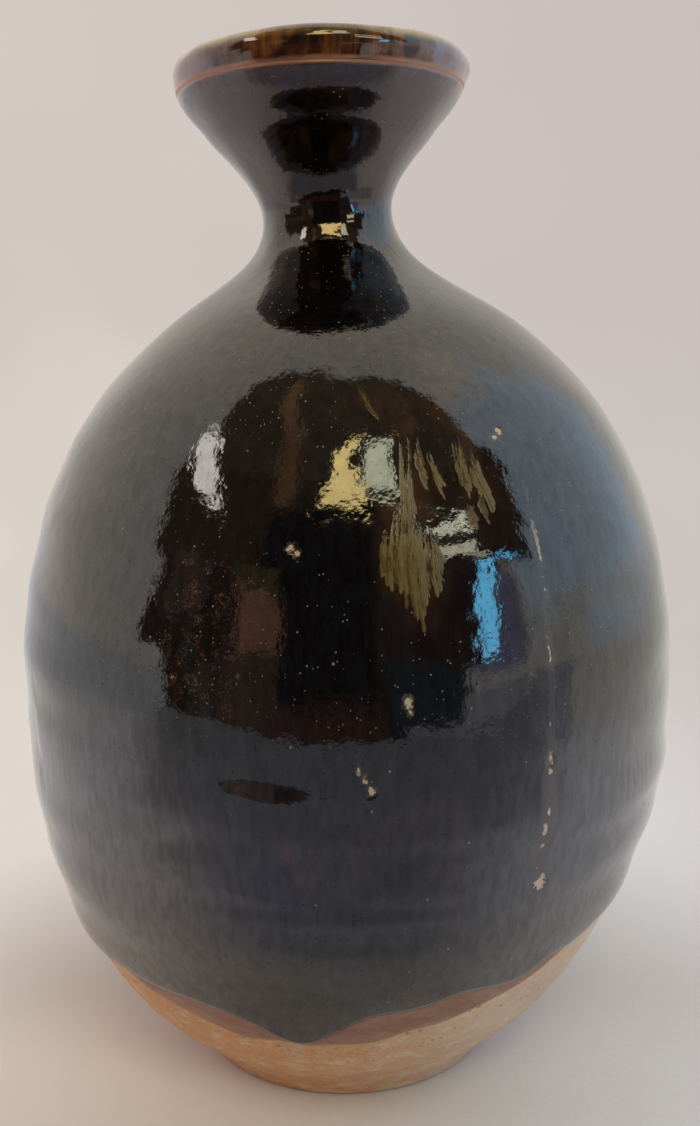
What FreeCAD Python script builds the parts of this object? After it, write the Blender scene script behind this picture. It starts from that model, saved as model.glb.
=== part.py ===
"""Sake bottle (tokkuri): a wheel-thrown stoneware bottle with an egg-shaped belly, a narrow throat and a
funnel mouth, coated in dark iron glaze down to a wavy line above the foot.

Millimetres, +Z up. The origin is the centre of the foot's resting plane. The front, where the glaze line
has its longest run, faces -Y.

Every surface of the pot is a loft through level circles, because a thrown pot is a stack of rings whose
centres wander a little: the neck of this one leans towards -X and its rim dips to that side.
"""
import FreeCAD
import Part
import math
import os

doc = FreeCAD.newDocument("sake_bottle")

# --- driving dimensions -------------------------------------------------------------------------------

DIMENSIONS = {
    "glaze_thickness": 0.5,      # dark glaze and lip glaze over the clay
    "liner_thickness": 0.4,      # glaze inside
    "wash_thickness": 0.2,       # thin first coat that shows under the glaze line
    "run_thickness": 0.35,       # ash glaze runs that stand on the dark glaze
    "rim_round": 1.6,            # rounding of the rim's two edges, in the clay
    "rim_tilt": 1.7,             # degrees, the rim's dip towards -X
    "foot_recess_radius": 14.5,  # hollow turned into the underside
    "foot_recess_depth": 1.8,
    "floor_height": 5.6,         # top of the clay floor
}

# Outer outline over the glaze: height, radius and sideways wander of each ring, and the share of the
# rim's tilt that it has.
OUTLINE = {
    "foot": (0.0, 20.4, -0.5, 0.0),
    "heel": (5.4, 25.3, -0.7, 0.0),
    "heel_top": (11.0, 31.0, -0.9, 0.0),
    "low_belly": (18.0, 35.7, -0.9, 0.0),
    "rising_belly": (27.0, 39.9, -0.7, 0.0),
    "lower_girth": (38.0, 42.7, -0.1, 0.0),
    "girth": (54.0, 44.2, 0.0, 0.0),
    "upper_girth": (68.0, 42.9, 0.0, 0.0),
    "high_belly": (80.0, 39.35, 0.0, 0.0),
    "shoulder": (90.0, 34.0, 0.0, 0.0),
    "shoulder_slope": (97.5, 27.2, -0.1, 0.0),
    "shoulder_top": (103.0, 20.2, -0.5, 0.0),
    "neck_root": (107.0, 13.8, -1.3, 0.0),
    "neck_low": (110.5, 10.1, -2.0, 0.1),
    "throat": (114.3, 8.7, -2.6, 0.3),
    "neck_high": (118.0, 9.4, -3.1, 0.5),
    "funnel": (122.5, 12.6, -3.5, 0.8),
    "funnel_top": (127.5, 17.0, -3.7, 1.0),
    "lip_ridge": (130.6, 19.0, -3.6, 1.0),
    "lip": (132.6, 19.45, -3.5, 1.0),
    "rim": (135.0, 19.1, -3.4, 1.0),
}

# The clay's inner outline: the ring it lies in, height and radius. The wall is thick at the heel,
# 4 mm up the belly and 3 mm at the throat. The last ring stands clear above the rim.
CAVITY = {
    "floor": ("heel", "floor_height", 14.0),
    "floor_edge": ("heel", 7.2, 20.3),
    "inner_heel": ("heel_top", 11.0, 25.7),
    "inner_low_belly": ("low_belly", 18.0, 31.2),
    "inner_rising_belly": ("rising_belly", 27.0, 35.7),
    "inner_lower_girth": ("lower_girth", 38.0, 38.7),
    "inner_girth": ("girth", 54.0, 40.2),
    "inner_upper_girth": ("upper_girth", 68.0, 38.8),
    "inner_high_belly": ("high_belly", 80.0, 35.1),
    "inner_shoulder": ("shoulder", 90.0, 29.4),
    "inner_slope": ("shoulder_slope", 97.5, 22.0),
    "inner_top": ("shoulder_top", 103.0, 14.4),
    "inner_root": ("neck_root", 107.0, 9.2),
    "inner_neck": ("neck_low", 110.5, 6.5),
    "inner_throat": ("throat", 114.3, 5.5),
    "inner_neck_high": ("neck_high", 118.0, 5.9),
    "inner_funnel": ("funnel", 122.5, 8.2),
    "inner_funnel_top": ("funnel_top", 127.5, 12.3),
    "inner_ridge": ("lip_ridge", 130.6, 13.9),
    "inner_lip": ("lip", 132.6, 14.5),
    "above_rim": ("rim", 137.5, 15.2),
}

# The dark glaze's lower edge: its mean height and its slow swings round the pot, then its drips, each a
# side (degrees from the front, towards +X), a half width in degrees and a depth.
LINE_HEIGHT = 22.7
LINE_RISE_TO_RIGHT = 3.1
LINE_DIP_AT_FRONT = 0.9
LINE_DIP_FRONT_AND_BACK = 1.8
DRIPS = [(-7.5, 9.8, 4.7), (35.0, 5.0, 1.0), (128.0, 13.0, 2.4), (205.0, 10.0, 3.4)]

# The first coat's lower edge: lowest at one side of the front, and rising out of sight round the pot.
WASH_HEIGHT = 14.6
WASH_SIDE = -9.0
WASH_HALF_WIDTH = 85.0
WASH_RISE = 26.0

# Ash glaze runs: side (degrees from the front, towards +X), top height, bottom height and width.
RUNS = {
    "long_run": (9.0, 86.0, 68.0, 3.6),
    "left_run": (6.0, 84.0, 71.5, 2.4),
    "right_run": (12.6, 84.5, 72.5, 2.2),
    "short_finger": (15.8, 86.0, 81.0, 1.2),
    "middle_finger": (19.8, 84.5, 78.6, 1.6),
    "outer_finger": (23.4, 85.5, 79.6, 2.0),
}

LINE_POINTS = 60     # points round the pot that a wavy edge is drawn through
INNER_REACH = 6.0    # radii and depth between which cutting shapes run, well clear of the pot's wall
OUTER_REACH = 60.0
WELL_BELOW = -10.0
UP = FreeCAD.Vector(0, 0, 1)
TILT_AXIS = FreeCAD.Vector(0, 1, 0)

sheet = doc.addObject("Spreadsheet::Sheet", "Dimensions")


def write_cell(row, alias, value):
    """Puts a plain number into the sheet under a name that expressions can use."""
    sheet.set(f"A{row}", alias)
    sheet.set(f"B{row}", str(value))
    sheet.setAlias(f"B{row}", alias)


def fill_sheet():
    cells = dict(DIMENSIONS)
    for ring, (height, radius, wander, tilt_share) in OUTLINE.items():
        cells[f"{ring}_height"] = height
        cells[f"{ring}_radius"] = radius
        cells[f"{ring}_wander"] = wander
        cells[f"{ring}_tilt_share"] = tilt_share
    for ring, (_, height, radius) in CAVITY.items():
        if not isinstance(height, str):
            cells[f"{ring}_height"] = height
        cells[f"{ring}_radius"] = radius
    for run, (side, top, bottom, width) in RUNS.items():
        cells[f"{run}_side"] = side
        cells[f"{run}_top"] = top
        cells[f"{run}_bottom"] = bottom
        cells[f"{run}_width"] = width
    for row, (alias, value) in enumerate(cells.items(), start=1):
        write_cell(row, alias, value)
    doc.recompute()


def cell(alias):
    return float(sheet.get(alias))


# --- rings and lofts ----------------------------------------------------------------------------------

def ring(name, radius, height, centre_ring):
    """A circle round the pot whose radius, height, sideways wander and share of the tilt follow the sheet."""
    circle = doc.addObject("Part::Circle", name)
    circle.Placement = FreeCAD.Placement(FreeCAD.Vector(), FreeCAD.Rotation(TILT_AXIS, -cell("rim_tilt")))
    circle.setExpression("Radius", radius)
    circle.setExpression(".Placement.Base.x", f"Dimensions.{centre_ring}_wander")
    circle.setExpression(".Placement.Base.z", height)
    circle.setExpression(
        ".Placement.Rotation.Angle", f"-Dimensions.rim_tilt * Dimensions.{centre_ring}_tilt_share"
    )
    return circle


def loft(name, circles):
    solid = doc.addObject("Part::Loft", name)
    solid.Sections = circles
    solid.Solid = True
    solid.Ruled = False
    return solid


def outer_loft(name, thinner_by, top_ring_drop="0"):
    """The outer outline, drawn in by an amount, as a solid. The top ring also sits lower by a drop."""
    circles = []
    for key in OUTLINE:
        height = f"Dimensions.{key}_height"
        if key == "rim":
            height += f" - {top_ring_drop}"
        circles.append(ring(f"{name}_{key}", f"Dimensions.{key}_radius - ({thinner_by})", height, key))
    return loft(name, circles)


def cavity_loft(name, smaller_by):
    """The space inside, drawn in by an amount, as a solid that runs out past the rim."""
    circles = []
    for key, (centre_ring, height, _) in CAVITY.items():
        height_cell = f"Dimensions.{height}" if isinstance(height, str) else f"Dimensions.{key}_height"
        if key == "floor":
            height_cell += f" + {smaller_by}"
        circles.append(
            ring(f"{name}_{key}", f"Dimensions.{key}_radius - {smaller_by}", height_cell, centre_ring)
        )
    return loft(name, circles)


def cut(name, base, tool):
    result = doc.addObject("Part::Cut", name)
    result.Base = base
    result.Tool = tool
    return result


def common(name, *shapes):
    result = doc.addObject("Part::MultiCommon", name)
    result.Shapes = list(shapes)
    return result


def round_rim(name, base, radius):
    """Rounds the two ring-shaped edges of the rim's flat top."""
    doc.recompute()
    lowest = cell("lip_height")
    edges = [
        index
        for index, edge in enumerate(base.Shape.Edges, start=1)
        if edge.isClosed() and edge.BoundBox.ZMin > lowest
    ]
    rounded = doc.addObject("Part::Fillet", name)
    rounded.Base = base
    rounded.Edges = [(index, radius, radius) for index in edges]
    return rounded


# --- wavy glaze lines ---------------------------------------------------------------------------------

def bump(side, centre, half_width):
    """1 at a place round the pot, falling smoothly to 0 about half_width degrees away."""
    away = (side - centre + 180.0) % 360.0 - 180.0
    return math.exp(-((away / half_width) ** 2))


def glaze_line(side):
    """Height of the dark glaze's lower edge, by the angle in degrees from the front towards +X."""
    turn = math.radians(side)
    height = LINE_HEIGHT + LINE_RISE_TO_RIGHT * math.sin(turn) - LINE_DIP_AT_FRONT * math.cos(turn)
    height -= LINE_DIP_FRONT_AND_BACK * math.cos(2 * turn)
    return height - sum(depth * bump(side, centre, half_width) for centre, half_width, depth in DRIPS)


def wash_line(side):
    """Height of the first coat's lower edge. It shows below the glaze line at the front only."""
    return WASH_HEIGHT + WASH_RISE * (1.0 - bump(side, WASH_SIDE, WASH_HALF_WIDTH))


def wavy_wire(line, reach):
    points = []
    for step in range(LINE_POINTS):
        side = 360.0 * step / LINE_POINTS
        turn = math.radians(side)
        points.append(FreeCAD.Vector(reach * math.sin(turn), -reach * math.cos(turn), line(side)))
    curve = Part.BSplineCurve()
    curve.interpolate(points, PeriodicFlag=True)
    return Part.Wire([curve.toShape()])


def level_wire(reach):
    start = FreeCAD.Vector(0, -reach, WELL_BELOW)
    circle = Part.Circle(FreeCAD.Vector(0, 0, WELL_BELOW), UP, reach)
    offset = circle.parameter(start)
    return Part.Wire([circle.toShape(offset, offset + 2 * math.pi)])


def below_line(name, line):
    """A ring-shaped solid that fills everything below a wavy line, for cutting the coats to it."""
    inner_top, outer_top = wavy_wire(line, INNER_REACH), wavy_wire(line, OUTER_REACH)
    inner_base, outer_base = level_wire(INNER_REACH), level_wire(OUTER_REACH)
    pairs = [
        (inner_top, outer_top),
        (outer_top, outer_base),
        (outer_base, inner_base),
        (inner_base, inner_top),
    ]
    faces = []
    for first, second in pairs:
        faces += Part.makeRuledSurface(first, second).Faces
    shell = Part.Shell(faces)
    shell.sewShape()
    solid = Part.Solid(shell)
    if solid.Volume < 0:
        solid.reverse()
    feature = doc.addObject("Part::Feature", name)
    feature.Shape = solid
    return feature


# --- the pot ------------------------------------------------------------------------------------------

def stoneware_body(cavity):
    """The one piece of fired clay: floor, belly, neck and mouth, thrown together."""
    glaze = "Dimensions.glaze_thickness"
    outside = outer_loft("clay_outside", glaze, glaze)
    pot = cut("hollow_pot", outside, cavity)
    rounded = round_rim("rounded_pot", pot, cell("rim_round"))
    recess = doc.addObject("Part::Cylinder", "foot_recess")
    recess.setExpression("Radius", "Dimensions.foot_recess_radius")
    recess.setExpression("Height", "Dimensions.foot_recess_depth")
    recess.setExpression(".Placement.Base.x", "Dimensions.foot_wander")
    return cut("stoneware_body", rounded, recess), outside, rounded


def above_ridge():
    """Everything above the sharp ridge under the lip, tilted as the rim is."""
    block = doc.addObject("Part::Box", "above_ridge")
    block.Length = OUTER_REACH
    block.Width = OUTER_REACH
    block.Height = OUTER_REACH
    tilt = FreeCAD.Rotation(TILT_AXIS, -cell("rim_tilt"))
    ridge = FreeCAD.Vector(cell("lip_ridge_wander"), 0, cell("lip_ridge_height"))
    corner = FreeCAD.Vector(-OUTER_REACH / 2, -OUTER_REACH / 2, 0)
    block.Placement = FreeCAD.Placement(ridge + tilt.multVec(corner), tilt)
    return block


def run_outline(name):
    """A tongue, square at the top and round at its lower end, standing in front of the pot."""
    side, top, bottom, width = (cell(f"{name}_{part}") for part in ("side", "top", "bottom", "width"))
    half = width / 2
    left_top = FreeCAD.Vector(-half, 0, top)
    right_top = FreeCAD.Vector(half, 0, top)
    left_low = FreeCAD.Vector(-half, 0, bottom + half)
    right_low = FreeCAD.Vector(half, 0, bottom + half)
    tip = FreeCAD.Vector(0, 0, bottom)
    wire = Part.Wire([
        Part.makeLine(left_top, right_top),
        Part.makeLine(right_top, right_low),
        Part.Arc(right_low, tip, left_low).toShape(),
        Part.makeLine(left_low, left_top),
    ])
    reach = FreeCAD.Vector(0, -OUTER_REACH, 0)
    tongue = Part.Face(wire).extrude(reach)
    return tongue.rotate(FreeCAD.Vector(), UP, side)


def ash_glaze_runs(glazed_outside):
    """Runs of ash glaze on the front of the shoulder, each a thin tongue standing on the dark glaze."""
    tongues = run_outline(next(iter(RUNS)))
    for name in list(RUNS)[1:]:
        tongues = tongues.fuse(run_outline(name))
    outline = doc.addObject("Part::Feature", "run_outlines")
    outline.Shape = tongues
    thicker = outer_loft("over_the_glaze", "-Dimensions.run_thickness")
    skin = cut("run_skin", thicker, glazed_outside)
    return common("ash_glaze_runs", skin, outline)


def build():
    fill_sheet()
    cavity = cavity_loft("clay_inside", "0")
    lined_cavity = cavity_loft("lined_inside", "Dimensions.liner_thickness")
    glazed_outside = outer_loft("glazed_outside", "0")
    clay, clay_outside, clay_rounded = stoneware_body(cavity)
    lip_zone = above_ridge()
    below_glaze = below_line("below_glaze_line", glaze_line)
    below_wash = below_line("below_wash_line", wash_line)

    outer_skin = cut("outer_skin", glazed_outside, clay_outside)
    skin_to_ridge = cut("skin_to_ridge", outer_skin, lip_zone)
    outer_glaze = cut("outer_glaze", skin_to_ridge, below_glaze)

    inner_skin = cut("inner_skin", cavity, lined_cavity)
    liner_glaze = cut("liner_glaze", inner_skin, lip_zone)

    envelope = cut("glazed_envelope", glazed_outside, lined_cavity)
    rim_round = cell("rim_round") + cell("glaze_thickness")
    rounded_envelope = round_rim("rounded_envelope", envelope, rim_round)
    coats = cut("all_coats", rounded_envelope, clay_rounded)
    lip_glaze = common("lip_glaze", coats, lip_zone)

    wash_loft = outer_loft("wash_outside", "Dimensions.glaze_thickness - Dimensions.wash_thickness")
    wash_skin = cut("wash_skin", wash_loft, clay_outside)
    wash_low = cut("wash_to_line", wash_skin, below_wash)
    wash_band = common("wash_band", wash_low, below_glaze)

    runs = ash_glaze_runs(glazed_outside)
    return [clay, outer_glaze, liner_glaze, lip_glaze, wash_band, runs]


def check(parts):
    doc.recompute()
    for item in doc.Objects:
        if "Invalid" in item.State or "Error" in item.State:
            raise RuntimeError(f"{item.Label} failed: {item.State}")
    for part in parts:
        if part.Shape.isNull() or not part.Shape.isValid() or not part.Shape.Solids:
            raise RuntimeError(f"{part.Label} has no valid solid")


def write(parts):
    os.makedirs("parts", exist_ok=True)
    for part in parts:
        part.Shape.exportStep(f"parts/{part.Label}.step")
        box = part.Shape.BoundBox
        print(
            f"{part.Label}: {len(part.Shape.Solids)} solid(s), {part.Shape.Volume:.0f} mm3, "
            f"{box.XLength:.2f} x {box.YLength:.2f} x {box.ZLength:.2f} mm"
        )


finished = build()
check(finished)
write(finished)
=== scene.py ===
"""A wheel-thrown sake bottle: its fired clay, glaze coats and runs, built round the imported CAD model.

Lengths in this file are millimetres and become metres only when a mesh or object is made. A side is an
angle round the pot in degrees, 0 at the front (-Y) and growing towards +X. A height is measured up the
pot's middle line, and a ring is the pot's section at one height.
"""

import math

import bpy
import numpy as np
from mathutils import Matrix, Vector
from mathutils.bvhtree import BVHTree


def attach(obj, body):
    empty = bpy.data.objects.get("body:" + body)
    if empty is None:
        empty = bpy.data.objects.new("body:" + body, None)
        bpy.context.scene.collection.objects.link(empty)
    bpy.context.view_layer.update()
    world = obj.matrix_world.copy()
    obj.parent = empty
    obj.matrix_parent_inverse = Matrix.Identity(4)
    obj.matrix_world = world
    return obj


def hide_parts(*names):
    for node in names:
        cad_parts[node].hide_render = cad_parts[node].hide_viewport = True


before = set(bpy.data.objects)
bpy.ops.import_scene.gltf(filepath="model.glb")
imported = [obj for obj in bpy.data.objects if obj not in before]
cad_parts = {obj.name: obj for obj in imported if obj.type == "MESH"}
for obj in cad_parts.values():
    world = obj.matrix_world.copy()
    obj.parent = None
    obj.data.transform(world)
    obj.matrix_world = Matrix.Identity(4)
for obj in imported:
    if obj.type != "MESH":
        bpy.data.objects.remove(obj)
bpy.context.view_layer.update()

MM = 0.001

# --- driving dimensions, as in the CAD model ---

GLAZE = 0.5            # dark glaze over the clay
LINER = 0.4            # glaze inside
WASH = 0.16            # first coat under the glaze line
RIM_TILT = 1.7         # degrees that the rim dips towards -X
TILT_FROM = 108.0      # heights between which the rings take up that tilt
TILT_TO = 125.0
RIDGE = 130.6          # sharp ridge under the lip
LIP_WIDEST = 132.5     # the lip bulges to here, and rounds over above it
RIM_TOP = 135.0
CLAY_RIM_TOP = 134.5
FLOOR_TOP = 5.6        # clay floor inside
FOOT_RECESS_RADIUS = 14.5
FOOT_RECESS_DEPTH = 1.8

# The dark glaze's lower edge, as in the CAD model: mean height, slow swings, and drips (side, half
# width, depth).
LINE_HEIGHT = 22.7
LINE_RISE_TO_RIGHT = 3.1
LINE_DIP_AT_FRONT = 0.9
LINE_DIP_FRONT_AND_BACK = 1.8
DRIPS = [(-7.5, 9.8, 4.7), (35.0, 5.0, 1.0), (128.0, 13.0, 2.4), (205.0, 10.0, 3.4)]

# The first coat's lower edge.
WASH_HEIGHT = 14.6
WASH_SIDE = -9.0
WASH_HALF_WIDTH = 85.0
WASH_RISE = 26.0

FRONT_SIDE = 62.0      # columns stand closer together within this many degrees of the front
FRONT_COLUMNS = 200
BACK_COLUMNS = 170
RING_COUNT = 45        # rings measured on the CAD model


# --- curves and waves ---

def smooth_step(value, low, high):
    t = np.clip((np.asarray(value, float) - low) / (high - low), 0.0, 1.0)
    return t * t * (3.0 - 2.0 * t)


def bump(side, centre, half_width):
    """1 at a side, falling smoothly to 0 about half_width degrees away."""
    away = (np.asarray(side, float) - centre + 180.0) % 360.0 - 180.0
    return np.exp(-((away / half_width) ** 2))


def peak(height, centre, half_width):
    """1 at a height, falling smoothly to 0 about half_width away."""
    return np.exp(-(((np.asarray(height, float) - centre) / half_width) ** 2))


def natural_spline(xs, ys):
    """A smooth curve through points, as a function that takes an array."""
    xs, ys = np.asarray(xs, float), np.asarray(ys, float)
    gaps = np.diff(xs)
    slopes = np.diff(ys) / gaps
    count = len(xs)
    system, target = np.eye(count), np.zeros(count)
    for i in range(1, count - 1):
        system[i, i - 1] = gaps[i - 1]
        system[i, i] = 2.0 * (gaps[i - 1] + gaps[i])
        system[i, i + 1] = gaps[i]
        target[i] = 6.0 * (slopes[i] - slopes[i - 1])
    bends = np.linalg.solve(system, target)

    def curve(x):
        x = np.asarray(x, float)
        i = np.clip(np.searchsorted(xs, x) - 1, 0, count - 2)
        gap, left, right = gaps[i], x - xs[i], xs[i + 1] - x
        cubic = (bends[i] * right**3 + bends[i + 1] * left**3) / (6.0 * gap)
        start = (ys[i] / gap - bends[i] * gap / 6.0) * right
        end = (ys[i + 1] / gap - bends[i + 1] * gap / 6.0) * left
        return cubic + start + end

    return curve


def waves(seed, count, turns, rise):
    """Smooth unevenness of about -1 to 1 over side and height: a sum of seeded sine waves. turns is the
    most waves round the pot, and rise the shortest wave up it in millimetres."""
    source = np.random.default_rng(seed)
    around = source.integers(0, turns + 1, count)
    up = source.uniform(0.25, 1.0, count) * 2.0 * np.pi / rise * source.choice([-1.0, 1.0], count)
    phase = source.uniform(0.0, 2.0 * np.pi, count)
    share = source.uniform(0.5, 1.0, count)
    share *= 1.4 / np.sqrt(np.sum(share**2))

    def field(side, height):
        turn = np.radians(np.asarray(side, float))
        total = np.zeros(np.broadcast(turn, np.asarray(height, float)).shape)
        for k, m, p, a in zip(around, up, phase, share):
            total = total + a * np.sin(k * turn + m * height + p)
        return total

    return field


# --- the CAD model's rings ---

def tilt_at(height):
    return np.radians(RIM_TILT) * smooth_step(height, TILT_FROM, TILT_TO)


def outward(side, height):
    """Unit vector from a ring's centre towards a side, within the ring's own plane."""
    turn, tilt = np.radians(side), tilt_at(height)
    across = np.sin(turn)
    return np.stack(np.broadcast_arrays(across * np.cos(tilt), -np.cos(turn), across * np.sin(tilt)), -1)


def measure_ring(tree, height, inside):
    """Centre along X and radius of the clay's section at a height, from rays across its own plane."""
    reach, centre, radius = 70.0, 0.0, 0.0
    sides = np.linspace(0.0, 360.0, 16, endpoint=False)
    for _ in range(4):
        points = []
        for side in sides:
            way = Vector(outward(side, height))
            middle = Vector((centre, 0.0, height))
            start, ray = (middle, way) if inside else (middle + way * reach, -way)
            hit = tree.ray_cast(start * MM, ray)[0]
            points.append(hit / MM - middle)
        centre += 2.0 * float(np.mean([p.x for p in points]))
        radius = float(np.mean([p.length for p in points]))
    return centre, radius


def clay_tree():
    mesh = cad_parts["stoneware_body"].data
    return BVHTree.FromPolygons([v.co for v in mesh.vertices], [p.vertices for p in mesh.polygons])


def measured_curves(tree, lowest, highest, inside):
    heights = np.linspace(lowest, highest, RING_COUNT)
    rings = [measure_ring(tree, height, inside) for height in heights]
    return natural_spline(heights, [r[0] for r in rings]), natural_spline(heights, [r[1] for r in rings])


cad_clay = clay_tree()
clay_centre, clay_radius = measured_curves(cad_clay, 0.4, LIP_WIDEST, False)
hollow_centre, hollow_radius = measured_curves(cad_clay, FLOOR_TOP + 1.6, LIP_WIDEST, True)


def ring_points(centre, radius, side, height):
    """Points of the pot at sides and heights, as an array of rows by columns by 3."""
    side, height, radius, centre = np.broadcast_arrays(side, height, radius, centre)
    middle = np.stack([centre, np.zeros_like(height), height], -1)
    return middle + outward(side, height) * radius[..., None]


def outside_points(radius, side, height):
    """Points of the pot, from the middle line of its outside."""
    return ring_points(clay_centre(np.minimum(height, LIP_WIDEST)), radius, side, height)


def inside_points(radius, side, height):
    """Points of the pot, from the middle line of its hollow."""
    return ring_points(hollow_centre(height), radius, side, height)


# --- how the potter's hand shows ---

throwing_drift = waves(3, 8, 2, 60.0)
finger_dents = waves(11, 14, 4, 15.0)
small_dents = waves(23, 22, 14, 5.5)
skin_waves = waves(29, 36, 70, 2.2)
turning_marks = waves(31, 10, 2, 3.0)

RIDGE_SPACING = 9.0    # height from one turn of the finger ridges to the next
LEDGE_WANDER = 0.12    # how much a ledge climbs or falls, per degree
TURNING_DEPTH = 0.05   # lines that the turning tool left on the foot

# Soft hollows and ledges left by the fingers: side, height, half width, half height, and how steeply
# the surface turns upwards (positive) or downwards across the middle.
LEDGES = [
    (-13.2, 50.1, 7, 2.3, 0.18),
    (-30, 41, 13, 2, 0.18),
    (-8, 37.2, 12, 1.4, 0.12),
    (0, 35, 24, 1.2, 0.20),
    (13, 41.5, 13, 1.6, 0.10),
    (3, 30.5, 12, 1.1, 0.10),
    (23, 46.5, 9, 1.8, 0.09),
    (-42, 47, 11, 2.6, 0.12),
    (-63, 53, 14, 2.6, 0.12),
    (-55, 36, 14, 2.4, 0.10),
    (52, 39, 14, 2.4, 0.08),
    (150, 50, 16, 3, 0.08),
    (-130, 44, 15, 3, -0.08),
]


def throwing_marks(side, height):
    """How far the clay stands out from its even shape: a spiral of finger ridges, dents and ledges."""
    drift = 0.8 * throwing_drift(side, height)
    spiral = np.sin(2.0 * np.pi * height / RIDGE_SPACING + np.radians(side) + drift)
    on_belly = smooth_step(height, 12.0, 26.0) * (1.0 - smooth_step(height, 84.0, 104.0))
    low = peak(height, 36.0, 14.0)
    left_dents = bump(side, -95.0, 40.0) * peak(height, 66.0, 16.0)
    right_dents = bump(side, 88.0, 35.0) * peak(height, 40.0, 14.0)
    depth = 0.04 + 0.06 * low + 0.12 * left_dents + 0.08 * right_dents
    marks = depth * spiral * on_belly
    dents = 0.04 + 0.10 * on_belly * (low + left_dents)
    marks = marks + dents * finger_dents(side, height)
    for centre, middle, half_width, half_height, slope in LEDGES:
        wander = middle + LEDGE_WANDER * (np.asarray(side, float) - centre) * np.sin(centre)
        step = slope * (height - wander) * peak(height, wander, half_height)
        marks = marks - step * bump(side, centre, half_width)
    calm = 1.0 - 0.75 * bump(side, 0.0, 50.0) * smooth_step(height, 50.0, 58.0)    # the even front
    fine = 0.014 * small_dents(side, height) * (0.3 + 0.7 * calm) + 0.004 * skin_waves(side, height)
    fine = fine * smooth_step(height, 10.0, 24.0)
    return marks * calm * smooth_step(height, 2.0, 14.0) + fine + funnel_ring(height)


def funnel_ring(height):
    """A faint ring of the funnel, where it opens a little less steeply."""
    middle, half_height, slope = 125.2, 1.3, -0.15
    return slope * (height - middle) * peak(height, middle, half_height)


def clay_surface(side, height):
    """Radius of the clay's outside, with the marks of throwing and, on the foot, of turning."""
    turned = 1.0 - smooth_step(height, 13.0, 21.0)
    marks = TURNING_DEPTH * turned * turning_marks(side, height)
    return clay_radius(height) + throwing_marks(side, height) + marks


line_wobble = waves(41, 10, 26, 900.0)
LINE_WOBBLE = 0.18     # small unevenness of the glaze line


def glaze_line(side):
    """Height of the dark glaze's lower edge."""
    turn = np.radians(np.asarray(side, float))
    height = LINE_HEIGHT + LINE_RISE_TO_RIGHT * np.sin(turn) - LINE_DIP_AT_FRONT * np.cos(turn)
    height = height - LINE_DIP_FRONT_AND_BACK * np.cos(2.0 * turn)
    for centre, half_width, depth in DRIPS:
        height = height - depth * bump(side, centre, half_width)
    return height + LINE_WOBBLE * line_wobble(side, 0.0)


def wash_line(side):
    """Height of the first coat's lower edge."""
    return WASH_HEIGHT + WASH_RISE * (1.0 - bump(side, WASH_SIDE, WASH_HALF_WIDTH))


glaze_swell = waves(53, 12, 14, 16.0)
ridge_wobble = waves(61, 8, 9, 900.0)

THIN_AT_RIDGE = 0.08   # how much thinner the glaze is at the ridge, and within what height
THIN_HALF_WIDTH = 2.2
RIDGE_WOBBLE = 0.12    # how the ridge wanders up and down, stands out, and how wide it is
RIDGE_RISE = 0.015
RIDGE_HALF_WIDTH = 0.6


def glaze_thickness(side, height):
    """Thickness of the dark glaze: a rolled edge at the line, fattest on the drips, thin at the ridge."""
    roll_height, least = 0.9, 0.02
    above = height - glaze_line(side)
    fatness = 0.08
    for centre, half_width, depth in DRIPS:
        fatness = fatness + 0.11 * depth * bump(side, centre, half_width * 1.1)
    rise = np.sqrt(np.clip(above / roll_height, 0.0, 1.0))
    bead = fatness * peak(above, 1.1, 1.5)
    thin_at_ridge = THIN_AT_RIDGE * peak(height, RIDGE, THIN_HALF_WIDTH)
    even = GLAZE + 0.04 * glaze_swell(side, height) - thin_at_ridge
    return np.maximum(least, (even + bead) * rise)


def ridge_rise(side, height):
    """The thin sharp ridge under the lip, standing out of the clay."""
    middle = RIDGE + RIDGE_WOBBLE * ridge_wobble(side, 0.0)
    return RIDGE_RISE * peak(height, middle, RIDGE_HALF_WIDTH)


# --- meshes ---

def column_sides():
    front = np.linspace(-FRONT_SIDE, FRONT_SIDE, FRONT_COLUMNS, endpoint=False)
    back = np.linspace(FRONT_SIDE, 360.0 - FRONT_SIDE, BACK_COLUMNS, endpoint=False)
    return np.concatenate([front, back])


SIDES = column_sides()


def grid_faces(rows, columns, wrap_columns=True, wrap_rows=False, first=0):
    """Quads of a grid of points numbered row by row."""
    row_count = rows if wrap_rows else rows - 1
    column_count = columns if wrap_columns else columns - 1
    i, j = np.meshgrid(np.arange(row_count), np.arange(column_count), indexing="ij")
    next_i, next_j = (i + 1) % rows, (j + 1) % columns
    corners = [i * columns + j, i * columns + next_j, next_i * columns + next_j, next_i * columns + j]
    return (np.stack(corners, -1).reshape(-1, 4) + first).tolist()


def make_object(name, points, faces, material, values=None):
    """A smooth-shaded mesh object whose faces look outward, with named values at its points."""
    mesh = bpy.data.meshes.new(name)
    mesh.from_pydata((np.asarray(points) * MM).tolist(), [], faces)
    for key, value in (values or {}).items():
        attribute = mesh.attributes.new(key, "FLOAT", "POINT")
        attribute.data.foreach_set("value", np.asarray(value, np.float32).ravel())
    mesh.polygons.foreach_set("use_smooth", [True] * len(mesh.polygons))
    mesh.materials.append(material)
    piece = bpy.data.objects.new(name, mesh)
    bpy.context.scene.collection.objects.link(piece)
    if signed_volume(mesh) < 0.0:
        mesh.flip_normals()
    mesh.update()
    return piece


def signed_volume(mesh):
    mesh.calc_loop_triangles()
    points = np.empty(len(mesh.vertices) * 3)
    mesh.vertices.foreach_get("co", points)
    corners = np.empty(len(mesh.loop_triangles) * 3, int)
    mesh.loop_triangles.foreach_get("vertices", corners)
    a, b, c = points.reshape(-1, 3)[corners.reshape(-1, 3)].transpose(1, 0, 2)
    return float(np.einsum("ij,ij->i", a, np.cross(b, c)).sum() / 6.0)


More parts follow.
